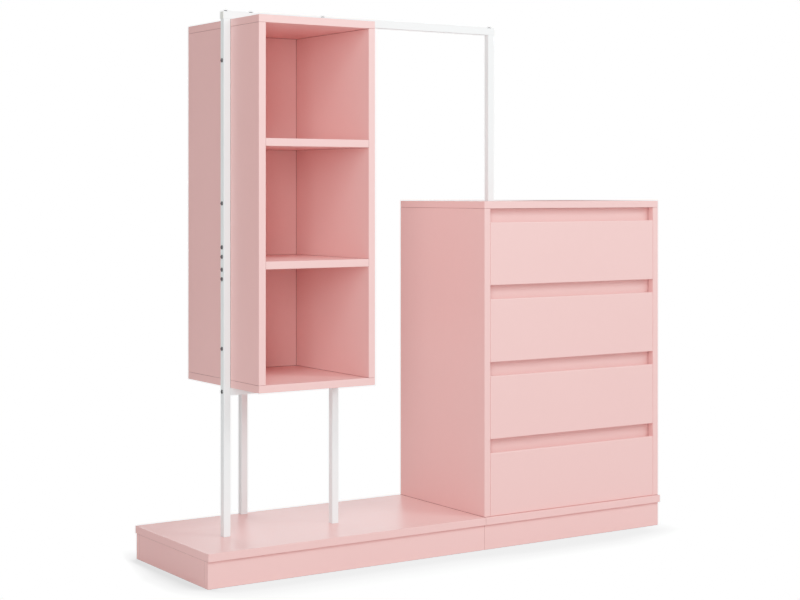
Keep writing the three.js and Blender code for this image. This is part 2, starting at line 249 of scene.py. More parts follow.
class WardrobeSizes(bpy.types.PropertyGroup):
    """Sizes of the small pieces."""

    edge_round: bpy.props.FloatProperty(
        name="Edge rounding",
        description="Width of the rounding that paint leaves on each eased edge",
        unit="LENGTH",
        default=0.7 * MM,
    )
    bolt_diameter: bpy.props.FloatProperty(
        name="Bolt head diameter",
        description="Diameter of the button heads on the tube frame",
        unit="LENGTH",
        default=11.5 * MM,
    )
    bolt_height: bpy.props.FloatProperty(
        name="Bolt head height",
        description="How far the button heads stand off the tube",
        unit="LENGTH",
        default=3.4 * MM,
    )
    bolt_socket: bpy.props.FloatProperty(
        name="Bolt socket",
        description="Width across the flats of the heads' hexagon socket",
        unit="LENGTH",
        default=4 * MM,
    )
    cap_thickness: bpy.props.FloatProperty(
        name="Cap thickness",
        description="How far the caps stand off the tubes' ends",
        unit="LENGTH",
        default=1.6 * MM,
    )
    pin_diameter: bpy.props.FloatProperty(
        name="Pin head diameter",
        description="Diameter of the pins that hold the cabinet's back",
        unit="LENGTH",
        default=4 * MM,
    )
    cam_diameter: bpy.props.FloatProperty(
        name="Cam diameter",
        description="Diameter of the cams that draw the drawer fronts to their sides",
        unit="LENGTH",
        default=15 * MM,
    )
    screw_diameter: bpy.props.FloatProperty(
        name="Runner screw diameter",
        description="Diameter of the screw heads on the drawers' runners",
        unit="LENGTH",
        default=6 * MM,
    )
    screw_height: bpy.props.FloatProperty(
        name="Runner screw height",
        description="How far the screw heads stand off the runners",
        unit="LENGTH",
        default=1.2 * MM,
    )
    pin_height: bpy.props.FloatProperty(
        name="Pin head height",
        description="How far the pins stand off the cabinet's back",
        unit="LENGTH",
        default=0.8 * MM,
    )
    washer_diameter: bpy.props.FloatProperty(
        name="Washer diameter",
        description="Diameter of the washers under the bolts at the posts' feet",
        unit="LENGTH",
        default=20 * MM,
    )
    washer_thickness: bpy.props.FloatProperty(
        name="Washer thickness",
        description="Thickness of the washers under the bolts at the posts' feet",
        unit="LENGTH",
        default=1.5 * MM,
    )
    roller_skin: bpy.props.FloatProperty(
        name="Roller skin",
        description="How far the nylon tread stands over the frame's plain rollers",
        unit="LENGTH",
        default=0.1 * MM,
    )
    roller_rib: bpy.props.FloatProperty(
        name="Roller rib",
        description="How far the rollers' rims and hubs stand over their webs",
        unit="LENGTH",
        default=0.3 * MM,
    )
    rivet_diameter: bpy.props.FloatProperty(
        name="Rivet diameter",
        description="Diameter of the rivet heads that hold the rollers",
        unit="LENGTH",
        default=5 * MM,
    )


class WardrobeStudio(bpy.types.PropertyGroup):
    """Strengths of the studio's lights."""

    surround: bpy.props.FloatProperty(
        name="Surround",
        description="Brightness of the room round the wardrobe",
        default=0.126,
    )
    front_left_power: bpy.props.FloatProperty(
        name="Front left softbox",
        description="Power of the softbox beside the camera, level with the bar",
        unit="POWER",
        default=114.0,
    )
    high_left_power: bpy.props.FloatProperty(
        name="High left softbox",
        description="Power of the softbox over the camera",
        unit="POWER",
        default=58.3,
    )
    high_right_power: bpy.props.FloatProperty(
        name="High right softbox",
        description="Power of the high softbox at the front right",
        unit="POWER",
        default=143.0,
    )
    right_power: bpy.props.FloatProperty(
        name="Right softbox",
        description="Power of the softbox at the right, level with the bar",
        unit="POWER",
        default=32.8,
    )
    left_power: bpy.props.FloatProperty(
        name="Left softbox",
        description="Power of the softbox at the left end",
        unit="POWER",
        default=16.7,
    )
    back_power: bpy.props.FloatProperty(
        name="Back softbox",
        description="Power of the softbox straight behind, which the boards' tops mirror",
        unit="POWER",
        default=200.0,
    )
    back_right_power: bpy.props.FloatProperty(
        name="Back right softbox",
        description="Power of the softbox at the back right, which the boards' tops mirror",
        unit="POWER",
        default=30.7,
    )
    side_power: bpy.props.FloatProperty(
        name="Side softbox",
        description="Power of the softbox at the right side, which the photograph hides",
        unit="POWER",
        default=95.0,
    )
    near_power: bpy.props.FloatProperty(
        name="Near softbox",
        description="Power of the small softbox high and close in front",
        unit="POWER",
        default=40.9,
    )


# Surfaces


def closed_rings(rings):
    """Faces of a closed surface through rings of points, from the first ring to the last.

    rings is rows by columns by 3. Neighbouring points of neighbouring rings make a four-sided
    face, and a fan of three-sided faces about the ring's middle closes each end. The rings run
    anticlockwise seen from the side that the last one faces, so the faces point outwards.
    """
    rows, columns = rings.shape[:2]
    start = np.arange(rows * columns).reshape(rows, columns)
    after = np.roll(start, -1, axis=1)
    quads = np.stack([start[:-1], after[:-1], after[1:], start[1:]], axis=-1).reshape(-1, 4)
    first_middle = np.full(columns, rows * columns)
    last_middle = first_middle + 1
    fans = np.concatenate([
        np.stack([first_middle, after[0], start[0]], axis=-1),
        np.stack([last_middle, start[-1], after[-1]], axis=-1),
    ])
    points = np.vstack([rings.reshape(-1, 3), rings[0].mean(axis=0), rings[-1].mean(axis=0)])
    return points, quads, fans


def angles(sides):
    """Angles of that many points, evenly round a full turn."""
    return np.linspace(0, 2 * np.pi, sides, endpoint=False)


def turned_rings(radii, heights, sides, shape=None):
    """Rings about the Z axis: radii[k] times shape[k](angle), at height heights[k].

    shape is rows by sides, and is one everywhere for a round ring.
    """
    angle = angles(sides)
    reach = np.asarray(radii, float)[:, None] * (np.ones((1, sides)) if shape is None else shape)
    height = np.broadcast_to(np.asarray(heights, float)[:, None], reach.shape)
    return np.stack([reach * np.cos(angle), reach * np.sin(angle), height], axis=-1)


def hexagon_shape(sides):
    """Reach of a regular hexagon over its flats' half width: one over the cosine of the angle
    from the middle of the nearest flat."""
    angle = angles(sides)
    from_flat = (angle + np.pi / 6) % (np.pi / 3) - np.pi / 6
    return 1 / np.cos(from_flat)


def cross_shape(sides, depth=0.45):
    """Reach of a rounded cross: one, drawn in by depth between its four arms."""
    angle = angles(sides)
    return 1 - depth * np.sin(2 * angle) ** 2


def square_shape(sides, roundness=11.5):
    """Reach of a square with rounded corners over its half width, as a superellipse: the sum of
    the powers of the cosine and the sine, to the power of minus one over roundness."""
    angle = angles(sides)
    total = np.abs(np.cos(angle)) ** roundness + np.abs(np.sin(angle)) ** roundness
    return total ** (-1 / roundness)


def button_head(diameter, height, socket):
    """A domed bolt head on Z = 0: a short rim, a quarter-ellipse dome to a flat land, and a
    hexagon socket that goes down from the land to a shallow cone."""
    radius = diameter / 2
    land = socket * 0.72
    rim = height * 0.16
    turn = np.radians(np.linspace(0, 90, 8))
    dome_radii = land + (radius - land) * np.cos(turn)
    dome_heights = rim + (height - rim) * np.sin(turn)
    floor_height = height * 0.42
    flat = socket / 2
    radii = np.r_[radius * 0.97, dome_radii, flat * 1.08, flat, flat, flat * 0.2]
    heights = np.r_[0, dome_heights, height, height * 0.93, floor_height, floor_height * 0.8]
    shape = np.ones((len(radii), HEAD_SIDES))
    shape[-4:-1] = hexagon_shape(HEAD_SIDES)
    return turned_rings(radii, heights, HEAD_SIDES, shape)


def cross_head(diameter, height):
    """A low domed screw head on Z = 0, with a cross recess that narrows on its way down."""
    radius = diameter / 2
    turn = np.radians(np.linspace(0, 80, 6))
    recess = np.array([0.52, 0.48, 0.16]) * radius
    radii = np.r_[np.maximum(radius * np.cos(turn), radius * 0.56), recess]
    top = height * np.sin(turn)
    heights = np.r_[top, top[-1], top[-1] * 0.9, height * 0.25]
    shape = np.ones((len(radii), HEAD_SIDES))
    shape[-3:] = cross_shape(HEAD_SIDES)
    return turned_rings(radii, heights, HEAD_SIDES, shape)


def cam_disc(diameter):
    """A cam's face on Z = 0: a disc with a rounded rim, a raised ring and a cross recess."""
    radius = diameter / 2
    radii = np.array([1, 1, 0.94, 0.82, 0.78, 0.5, 0.42, 0.14]) * radius
    heights = np.array([0, 0.45, 0.7, 0.7, 0.45, 0.45, 0.3, 0.12]) * MM
    shape = np.ones((len(radii), HEAD_SIDES))
    shape[-3:] = cross_shape(HEAD_SIDES)
    return turned_rings(radii, heights, HEAD_SIDES, shape)


def square_cap(width, thickness):
    """A moulded end cap on Z = 0: a rounded square plate whose edge rolls over in a quarter round
    to a face that is dished very slightly."""
    half = width / 2
    turn = np.radians(np.linspace(0, 90, 6))
    roll = thickness * 0.7
    radii = np.r_[half * 0.985, half - roll + roll * np.cos(turn), half * 0.6, half * 0.2]
    edge = thickness - roll + roll * np.sin(turn)
    heights = np.r_[0, edge, thickness * 0.86, thickness * 0.82]
    shape = np.tile(square_shape(CAP_SIDES), (len(radii), 1))
    return turned_rings(radii, heights, CAP_SIDES, shape)


def washer(diameter, thickness):
    """A flat washer on Z = 0, as a disc with eased edges, for a bolt head to stand on."""
    radius = diameter / 2
    ease = thickness * 0.2
    radii = np.array([radius - ease, radius, radius, radius - ease])
    heights = np.array([0, ease, thickness - ease, thickness])
    return turned_rings(radii, heights, HEAD_SIDES)


def ribbed_roller(radius, thickness, rib):
    """A moulded roller about Z = 0, the same on both sides: a raised hub, a thin web, a raised rim
    and an eased corner to the tread."""
    half = thickness / 2
    share = np.array([0.12, 0.34, 0.4, 0.72, 0.78, 0.95, 1])
    rise = np.array([1, 1, 0, 0, 1, 1, 0])
    radii = radius * share
    heights = half + rib * rise
    return turned_rings(np.r_[radii, radii[::-1]], np.r_[-heights, heights[::-1]], CAP_SIDES)


def rivet_head(diameter):
    """A low domed rivet head on Z = 0: a flat half ellipse, a tenth of its diameter high."""
    turn = np.radians(np.linspace(0, 85, 6))
    return turned_rings(diameter / 2 * np.cos(turn), diameter / 10 * np.sin(turn), HEAD_SIDES)


def faced(points, direction):
    """points with their Z axis turned to direction, by a right-handed set of axes. Their X axis
    stays level, and so do the sides of a square piece."""
    out = Vector(direction).normalized()
    upright = Vector((0, 1, 0)) if abs(out.z) > 0.5 else Vector((0, 0, 1))
    aside = upright.cross(out).normalized()
    across = out.cross(aside)
    axes = np.array([aside, across, out])
    return points @ axes


def add_object(name, data):
    """A new object in the scene, with its mesh, light or camera."""
    made = bpy.data.objects.new(name, data)
    bpy.context.scene.collection.objects.link(made)
    return made


def add_piece(name, rings, places, body, slot):
    """One mesh that holds a copy of the closed surface through rings at each place.

    places is a list of (point, direction): the copy's Z = 0 plane lies on the point, and its
    Z axis points along the direction.
    """
    points, quads, fans = closed_rings(rings)
    copies = [faced(points, direction) + np.array(point) for point, direction in places]
    all_points = np.concatenate(copies)
    steps = np.arange(len(places))[:, None, None] * len(points)
    all_quads = (quads[None] + steps).reshape(-1, 4)
    all_fans = (fans[None] + steps).reshape(-1, 3)
    mesh = bpy.data.meshes.new(name)
    mesh.from_pydata(all_points.tolist(), [], all_quads.tolist() + all_fans.tolist())
    mesh.polygons.foreach_set("use_smooth", np.ones(len(mesh.polygons), bool))
    mesh.set_sharp_from_angle(angle=CREASE_TURN)
    mesh.validate()
    mesh.materials.append(finish_of(slot))
    piece = add_object(name, mesh)
    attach(piece, body)


# Finishes


def add_node(tree, kind, inputs=None, **fields):
    """A new node with its fields set and its inputs linked or given a value."""
    made = tree.nodes.new(kind)
    for field, value in fields.items():
        setattr(made, field, value)
    for key, value in (inputs or {}).items():
        if isinstance(value, bpy.types.NodeSocket):
            tree.links.new(value, made.inputs[key])
        else:
            made.inputs[key].default_value = value
    return made


def calculate(tree, operation, *values, kind="ShaderNodeMath"):
    """The result of a Math node, or of another kind of node, on values."""
    return add_node(tree, kind, dict(enumerate(values)), operation=operation).outputs[0]


def new_finish(name):
    """An empty node material with its shader, and the object's own coordinates."""
    finish = bpy.data.materials.new(name)
    finish.use_nodes = True
    tree = finish.node_tree
    tree.nodes.clear()
    output = add_node(tree, "ShaderNodeOutputMaterial")
    shader = add_node(tree, "ShaderNodeBsdfPrincipled")
    tree.links.new(shader.outputs["BSDF"], output.inputs["Surface"])
    place = add_node(tree, "ShaderNodeTexCoord").outputs["Object"]
    return finish, tree, shader, place


def noise(tree, place, scale, detail=2.0, roughness=0.5):
    """Soft noise over the object's coordinates, from about 0.3 to 0.7."""
    inputs = {"Vector": place, "Scale": scale, "Detail": detail, "Roughness": roughness}
    return add_node(tree, "ShaderNodeTexNoise", inputs).outputs["Fac"]


def remap(tree, value, low, high, start=0.3, end=0.7):
    """value from start..end to low..high, and no further."""
    inputs = {"Value": value, "From Min": start, "From Max": end, "To Min": low, "To Max": high}
    return add_node(tree, "ShaderNodeMapRange", inputs).outputs["Result"]


def blend_colours(tree, share, first, second):
    """first and second mixed by share, through the mix node's sockets for colours."""
    inputs = {0: share, 6: first, 7: second}
    return add_node(tree, "ShaderNodeMix", inputs, data_type="RGBA").outputs[2]


def shade(colour, factor):
    """A colour as four numbers, made lighter or darker by factor."""
    return (*[min(1.0, channel * factor) for channel in colour], 1.0)


def tone_of(tree, pattern, colour, darker, lighter):
    """colour times darker where the pattern is low, and times lighter where it is high."""
    share = remap(tree, pattern, 0.0, 1.0)
    return blend_colours(tree, share, shade(colour, darker), shade(colour, lighter))


def link_finish(tree, shader, colour, roughness, normal):
    """Links the patterns of a finish to its shader."""
    tree.links.new(colour, shader.inputs["Base Color"])
    tree.links.new(roughness, shader.inputs["Roughness"])
    tree.links.new(normal, shader.inputs["Normal"])


def bump(tree, height, strength, distance, under=None):
    """A bump of height over distance, on top of the one under it."""
    inputs = {"Height": height, "Strength": strength, "Distance": distance}
    if under is not None:
        inputs["Normal"] = under
    return add_node(tree, "ShaderNodeBump", inputs).outputs["Normal"]


def openness(tree, reach, rays):
    """How open the surface is within reach: one on a face, and about a half in the line where two
    pieces meet."""
    inputs = {"Distance": reach}
    return add_node(tree, "ShaderNodeAmbientOcclusion", inputs, samples=rays).outputs["AO"]


def inside_box(tree, place, low, high):
    """One inside the box from low to high, and none outside: the largest of the point's distances
    beyond the box's faces is below zero."""
    middle = (low + high) / 2
    half = (high - low) / 2
    vectors = "ShaderNodeVectorMath"
    offset = calculate(tree, "SUBTRACT", place, middle, kind=vectors)
    apart = calculate(tree, "ABSOLUTE", offset, kind=vectors)
    beyond = calculate(tree, "SUBTRACT", apart, half, kind=vectors)
    parts = add_node(tree, "ShaderNodeSeparateXYZ", {"Vector": beyond}).outputs
    sides = calculate(tree, "MAXIMUM", parts[0], parts[1])
    largest = calculate(tree, "MAXIMUM", sides, parts[2])
    return calculate(tree, "LESS_THAN", largest, 0.0)


def front_gap_box():
    """The box round the drawer fronts and the gaps beside and under them, in which the painted shade
    of joints and corners is left out, so that the gaps' sides are as even as the faces."""
    margin = Vector((GAP_MARGIN, GAP_MARGIN_FRONT, GAP_MARGIN))
    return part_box("drawer_4_front")[0] - margin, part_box("drawer_1_front")[1] + margin


def paint_finish(colours):
    """Sprayed satin paint on fibreboard: a slow drift in tone, a faint spray mottle, and the
    orange peel that spraying leaves, which also varies the gloss. Painted shade darkens the
    hairline joints between the boards and the inside corners, wherever the surface is hemmed in,
    but not in the gaps round the drawer fronts."""
    finish, tree, shader, place = new_finish("powder_pink_paint")
    drift = noise(tree, place, 2.1, 2.0)
    mottle = noise(tree, place, 46.0, 3.0, 0.6)
    peel = noise(tree, place, 380.0, 2.0, 0.55)
    grain = noise(tree, place, 1500.0, 1.0)
    toned = tone_of(tree, drift, colours.paint, 0.985, 1.012)
    mottled = blend_colours(tree, remap(tree, mottle, 0.0, 0.35), toned, shade(colours.paint, 1.03))
    # Painted shade: the paint darkens where little of the room round it is open, in the hairline joints
    # and inside corners, and stays even in the box round the drawer fronts' gaps
    room = openness(tree, CREVICE_SHADE_REACH, CREVICE_SHADE_RAYS)
    crevice_open = remap(tree, room, 0.0, 1.0, CREVICE_SHADE_FULL_SHARE, CREVICE_SHADE_START_SHARE)
    plain = calculate(tree, "MAXIMUM", crevice_open, inside_box(tree, place, *front_gap_box()))
    crevice_shaded = blend_colours(tree, plain, shade(colours.paint, CREVICE_SHADE), mottled)
    waves = bump(tree, peel, 0.05, 0.25 * MM)
    skin = bump(tree, grain, 0.03, 0.06 * MM, waves)
    link_finish(tree, shader, crevice_shaded, remap(tree, mottle, 0.33, 0.4), skin)
    shader.inputs["IOR"].default_value = COATING_IOR
    shader.inputs["Specular IOR Level"].default_value = 0.25
    return finish


def coat_finish(colours):
    """White powder coat: an even pebbled skin with a soft gloss."""
    finish, tree, shader, place = new_finish("white_powder_coat")
    pebble = noise(tree, place, 720.0, 2.0, 0.6)
    cloud = noise(tree, place, 9.0, 2.0)
    tone = tone_of(tree, cloud, colours.coat, 0.985, 1.01)
    skin = bump(tree, pebble, 0.12, 0.15 * MM)
    link_finish(tree, shader, tone, remap(tree, pebble, 0.34, 0.46), skin)
    shader.inputs["IOR"].default_value = COATING_IOR
    return finish


def hardboard_finish(colours):
    """Lacquered hardboard: pressed fibres that lie every way, with darker flecks."""
    finish, tree, shader, place = new_finish("lacquered_hardboard")
    fibre = noise(tree, place, 190.0, 5.0, 0.7)
    fleck = add_node(tree, "ShaderNodeTexVoronoi", {"Vector": place, "Scale": 330.0}).outputs["Distance"]
    base = tone_of(tree, fibre, colours.hardboard, 0.93, 1.06)
    near_fleck = remap(tree, fleck, 0.25, 0.0, 0.0, 0.28)
    flecked = blend_colours(tree, near_fleck, base, shade(colours.hardboard, 0.72))
    skin = bump(tree, fibre, 0.15, 0.2 * MM)
    link_finish(tree, shader, flecked, remap(tree, fibre, 0.5, 0.66), skin)
    return finish


def steel_finish(colours):
    """Dark zinc plate: metal with a fine satin grain and small cloudy changes in gloss."""
    finish, tree, shader, place = new_finish("dark_zinc_plate")
    grain = noise(tree, place, 2600.0, 3.0, 0.65)
    cloud = noise(tree, place, 300.0, 2.0)
    tone = tone_of(tree, cloud, colours.steel, 0.8, 1.3)
    skin = bump(tree, grain, 0.1, 0.02 * MM)
    link_finish(tree, shader, tone, remap(tree, grain, 0.4, 0.55), skin)
    shader.inputs["Metallic"].default_value = 0.6
    return finish


def cap_finish(colours):
    """Moulded plastic with a fine spark-eroded texture."""
    finish, tree, shader, place = new_finish("cap_plastic")
    texture = noise(tree, place, 1600.0, 3.0, 0.7)
    cloud = noise(tree, place, 60.0, 2.0)
    tone = tone_of(tree, cloud, colours.cap, 0.95, 1.04)
    skin = bump(tree, texture, 0.2, 0.04 * MM)
    link_finish(tree, shader, tone, remap(tree, texture, 0.42, 0.56), skin)
    return finish


def runner_finish(colours):
    """Cream epoxy coat on rolled steel, a little uneven where it pooled."""
    finish, tree, shader, place = new_finish("cream_epoxy_coat")
    pool = noise(tree, place, 130.0, 3.0, 0.6)
    tone = tone_of(tree, pool, colours.runner, 0.95, 1.03)
    skin = bump(tree, pool, 0.1, 0.1 * MM)
    link_finish(tree, shader, tone, remap(tree, pool, 0.28, 0.4), skin)
    return finish


def nylon_finish(colours):
    """Moulded nylon: a waxy, faintly uneven white."""
    finish, tree, shader, place = new_finish("white_nylon")
    flow = noise(tree, place, 240.0, 2.0)
    tone = tone_of(tree, flow, colours.roller, 0.96, 1.02)
    skin = bump(tree, flow, 0.1, 0.05 * MM)
    link_finish(tree, shader, tone, remap(tree, flow, 0.38, 0.5), skin)
    return finish


FINISH_MAKERS = {
    "painted_panel": paint_finish,
    "frame_tube": coat_finish,
    "hardboard": hardboard_finish,
    "fixing_steel": steel_finish,
    "cap_plastic": cap_finish,
    "runner_steel": runner_finish,
    "roller_nylon": nylon_finish,
}
finishes = {}


def finish_of(slot):
    """The finish of a material slot, made the first time that it is asked for."""
    if slot not in finishes:
        finishes[slot] = FINISH_MAKERS[slot](bpy.context.scene.wardrobe_colours)
    return finishes[slot]


# Edges of the frame's own pieces


def smooth_group():
    """A geometry node group that turns on smooth shading, for the rounded edges to show in."""
    group = bpy.data.node_groups.new("smooth_shading", "GeometryNodeTree")
    for way in ("INPUT", "OUTPUT"):
        group.interface.new_socket("Geometry", in_out=way, socket_type="NodeSocketGeometry")
    start = group.nodes.new("NodeGroupInput")
    smooth = group.nodes.new("GeometryNodeSetShadeSmooth")
    end = group.nodes.new("NodeGroupOutput")
    group.links.new(start.outputs[0], smooth.inputs["Geometry"])
    group.links.new(smooth.outputs["Geometry"], end.inputs[0])
    return group


def soften_edges(node, width, smooth):
    """Joins the node's loose triangles, rounds its sharp edges, and lets the large faces set the
    normals."""
    weld = node.modifiers.new("join", "WELD")
    weld.merge_threshold = WELD_GAP
    flat = node.modifiers.new("flat_faces", "DECIMATE")
    flat.decimate_type = "DISSOLVE"
    flat.angle_limit = FLAT_TURN
    rounding = node.modifiers.new("rounding", "BEVEL")
    rounding.width = width
    rounding.segments = ROUNDING_SEGMENTS
    rounding.limit_method = "ANGLE"
    rounding.angle_limit = ROUNDED_TURN
    shading = node.modifiers.new("smooth", "NODES")
    shading.node_group = smooth
    normals = node.modifiers.new("normals", "WEIGHTED_NORMAL")
    normals.mode = "FACE_AREA"
    normals.keep_sharp = True


def dress_nodes(slot, share=1):
    """Gives every CAD node that the record puts in a slot its finish, and rounds its edges by
    that share of the paint's rounding."""
    width = share * bpy.context.scene.wardrobe_sizes.edge_round
    smooth = bpy.data.node_groups.get("smooth_shading") or smooth_group()
    for row in frame["record"]["subparts"]:
        if row["material_slot"] == slot:
            node = frame["nodes"][row["node"]]
            node.data.materials.clear()
            node.data.materials.append(finish_of(slot))
            soften_edges(node, width, smooth)


def middle_of(name):
    """The middle of a CAD node's box."""
    low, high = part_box(name)
    return (low + high) / 2


def button_heads(name, places):
    """A set of button-head bolts as one piece."""
    sizes = bpy.context.scene.wardrobe_sizes
    rings = button_head(sizes.bolt_diameter, sizes.bolt_height, sizes.bolt_socket)
    add_piece(name, rings, places, "carcass", "fixing_steel")


# Operators


class PaintBoards(bpy.types.Operator):
    """Paint the boards and drawer fronts, and round their eased edges"""

    bl_idname = "wardrobe.paint_boards"
    bl_label = "Paint boards"

    def execute(self, context):
        dress_nodes("painted_panel")
        return {"FINISHED"}


class CoatTubes(bpy.types.Operator):
    """Powder coat the tube frame"""

    bl_idname = "wardrobe.coat_tubes"
    bl_label = "Coat tubes"

    def execute(self, context):
        dress_nodes("frame_tube")
        return {"FINISHED"}


class LacquerHardboard(bpy.types.Operator):
    """Finish the cabinet's back and the drawers' bottoms"""

    bl_idname = "wardrobe.lacquer_hardboard"
    bl_label = "Lacquer hardboard"

    def execute(self, context):
        dress_nodes("hardboard")
        return {"FINISHED"}


class CoatRunners(bpy.types.Operator):
    """Finish the drawer runners and the post's splice sleeve"""

    bl_idname = "wardrobe.coat_runners"
    bl_label = "Coat runners"

    def execute(self, context):
        dress_nodes("runner_steel", 0.5)
        return {"FINISHED"}


class BoltBar(bpy.types.Operator):
    """Bolt the top bar down to the posts and the shelf box"""

    bl_idname = "wardrobe.bolt_bar"
    bl_label = "Bolt top bar"

    def execute(self, context):
        bar = middle_of("top_bar")
        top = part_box("top_bar")[1].z
        box_low, box_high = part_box("shelf_box_top")
        lengthways = (
            middle_of("front_post_upper").x,
            box_low.x + BAR_BOLT_INSET,
            box_high.x - BAR_BOLT_INSET,
            middle_of("right_post").x,
        )
        button_heads("top_bar_bolts", [((x, bar.y, top), (0, 0, 1)) for x in lengthways])
        return {"FINISHED"}


class BoltPosts(bpy.types.Operator):
    """Bolt the posts to the shelf box, the splice sleeve, the lower rail and the boards"""

    bl_idname = "wardrobe.bolt_posts"
    bl_label = "Bolt posts"

    def execute(self, context):
        post = middle_of("front_post_lower")
        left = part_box("front_post_lower")[0].x
        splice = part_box("front_post_lower")[1].z
        box_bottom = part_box("shelf_box_bottom")[0].z
        box_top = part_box("shelf_box_top")[1].z
        rail = middle_of("lower_rail")
        side_heights = [
            box_top - BOX_BOLT_DROP,
            (box_bottom + box_top) / 2,
            box_bottom + BOX_BOLT_RISE,
            rail.z,
        ]
        side_heights += [splice + step for step in SPLICE_BOLT_STEPS]
        button_heads("front_post_bolts", [((left, post.y, z), (-1, 0, 0)) for z in side_heights])

        short_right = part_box("short_post")[1].x
        button_heads("short_post_bolt", [((short_right, rail.y, rail.z), (1, 0, 0))])

        rear = middle_of("rear_post")
        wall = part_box("shelf_box_back")[0].y
        floor_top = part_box("shelf_box_bottom")[1].z
        shelf_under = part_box("shelf_2")[0].z
        heights = (floor_top + REAR_BOLT_INSET, shelf_under - REAR_BOLT_INSET)
        button_heads("rear_post_bolts", [((rear.x, wall, z), (0, -1, 0)) for z in heights])

        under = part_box("base_board_left")[0].z
        # the rear post stands over the plinth's back, where a washer has no room
        self.foot_bolts("post_foot", ("front_post_lower", "short_post"), under)
        self.foot_bolts("right_post_foot", ("right_post",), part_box("cabinet_top")[0].z)
        return {"FINISHED"}

    def foot_bolts(self, name, posts, height):
        """Bolts and their washers on the underside at height, below each post."""
        sizes = bpy.context.scene.wardrobe_sizes
        down = (0, 0, -1)
        feet = [middle_of(post) for post in posts]
        disc = washer(sizes.washer_diameter, sizes.washer_thickness)
        places = [((foot.x, foot.y, height), down) for foot in feet]
        add_piece(f"{name}_washers", disc, places, "carcass", "fixing_steel")
        lower = height - sizes.washer_thickness
        button_heads(f"{name}_bolts", [((foot.x, foot.y, lower), down) for foot in feet])


class CapTubes(bpy.types.Operator):
    """Close the open ends of the top bar and the rear post with moulded caps"""

    bl_idname = "wardrobe.cap_tubes"
    bl_label = "Cap tubes"

    def execute(self, context):
        low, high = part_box("top_bar")
        bar = middle_of("top_bar")
        rear = middle_of("rear_post")
        rear_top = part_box("rear_post")[1].z
        rings = square_cap(high.z - low.z, context.scene.wardrobe_sizes.cap_thickness)
        ends = {
            "top_bar_cap_left": ((low.x, bar.y, bar.z), (-1, 0, 0)),
            "top_bar_cap_right": ((high.x, bar.y, bar.z), (1, 0, 0)),
            "rear_post_cap": ((rear.x, rear.y, rear_top), (0, 0, 1)),
        }
        for name, place in ends.items():
            add_piece(name, rings, [place], "carcass", "cap_plastic")
        return {"FINISHED"}


class PinBack(bpy.types.Operator):
    """Pin the cabinet's back panel into its rebates"""

    bl_idname = "wardrobe.pin_back"
    bl_label = "Pin cabinet back"

    def execute(self, context):
        low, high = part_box("cabinet_back")
        steps = math.ceil((high.z - low.z - 2 * PIN_INSET) / PIN_SPACING)
        heights = np.linspace(low.z + PIN_SPACING / 2, high.z - PIN_SPACING / 2, steps)
        sides = (low.x + PIN_INSET, high.x - PIN_INSET)
        places = [((x, high.y, z), (0, 1, 0)) for x in sides for z in heights]
        sizes = context.scene.wardrobe_sizes
        rings = cross_head(sizes.pin_diameter, sizes.pin_height)
        add_piece("cabinet_back_pins", rings, places, "carcass", "fixing_steel")
        return {"FINISHED"}


class FitDrawers(bpy.types.Operator):
    """Add the cams and runner screws of every drawer"""

    bl_idname = "wardrobe.fit_drawers"
    bl_label = "Fit drawers"

    def execute(self, context):
        sizes = context.scene.wardrobe_sizes
        cam = cam_disc(sizes.cam_diameter)
        screw = cross_head(sizes.screw_diameter, sizes.screw_height)
        for number, body in enumerate(DRAWERS, start=1):
            wrap_low, wrap_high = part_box(f"{body}_wrap")
            bottom_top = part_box(f"{body}_bottom")[1].z
            inner = self.inner_faces(body)
            heights = (bottom_top + CAM_INSET, wrap_high.z - CAM_INSET)
            depth = wrap_low.y + CAM_INSET
            cams = [((x, depth, z), (side, 0, 0)) for x, side in inner for z in heights]
            add_piece(f"{body}_cams", cam, cams, body, "fixing_steel")
            screws = []
            height = wrap_low.z + RUNNER_SCREW_RISE
            for label, wall, side in (("left", wrap_low.x, -1), ("right", wrap_high.x, 1)):
                low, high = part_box(f"drawer_runner_{number}_{label}")
                face = wall + side * RUNNER_SHEET
                for share in RUNNER_SCREW_SHARES:
                    depth = low.y + share * (high.y - low.y)
                    screws.append(((face, depth, height), (side, 0, 0)))
            add_piece(f"{body}_runner_screws", screw, screws, body, "fixing_steel")
        return {"FINISHED"}

    def inner_faces(self, body):
        """The inner faces of the drawer's two sides, each with the way that it looks."""
        points = np.array([vertex.co for vertex in frame["nodes"][f"{body}_wrap"].data.vertices])
        middle = (points[:, 0].min() + points[:, 0].max()) / 2
        return [
            (points[points[:, 0] < middle, 0].max(), 1),
            (points[points[:, 0] > middle, 0].min(), -1),
        ]


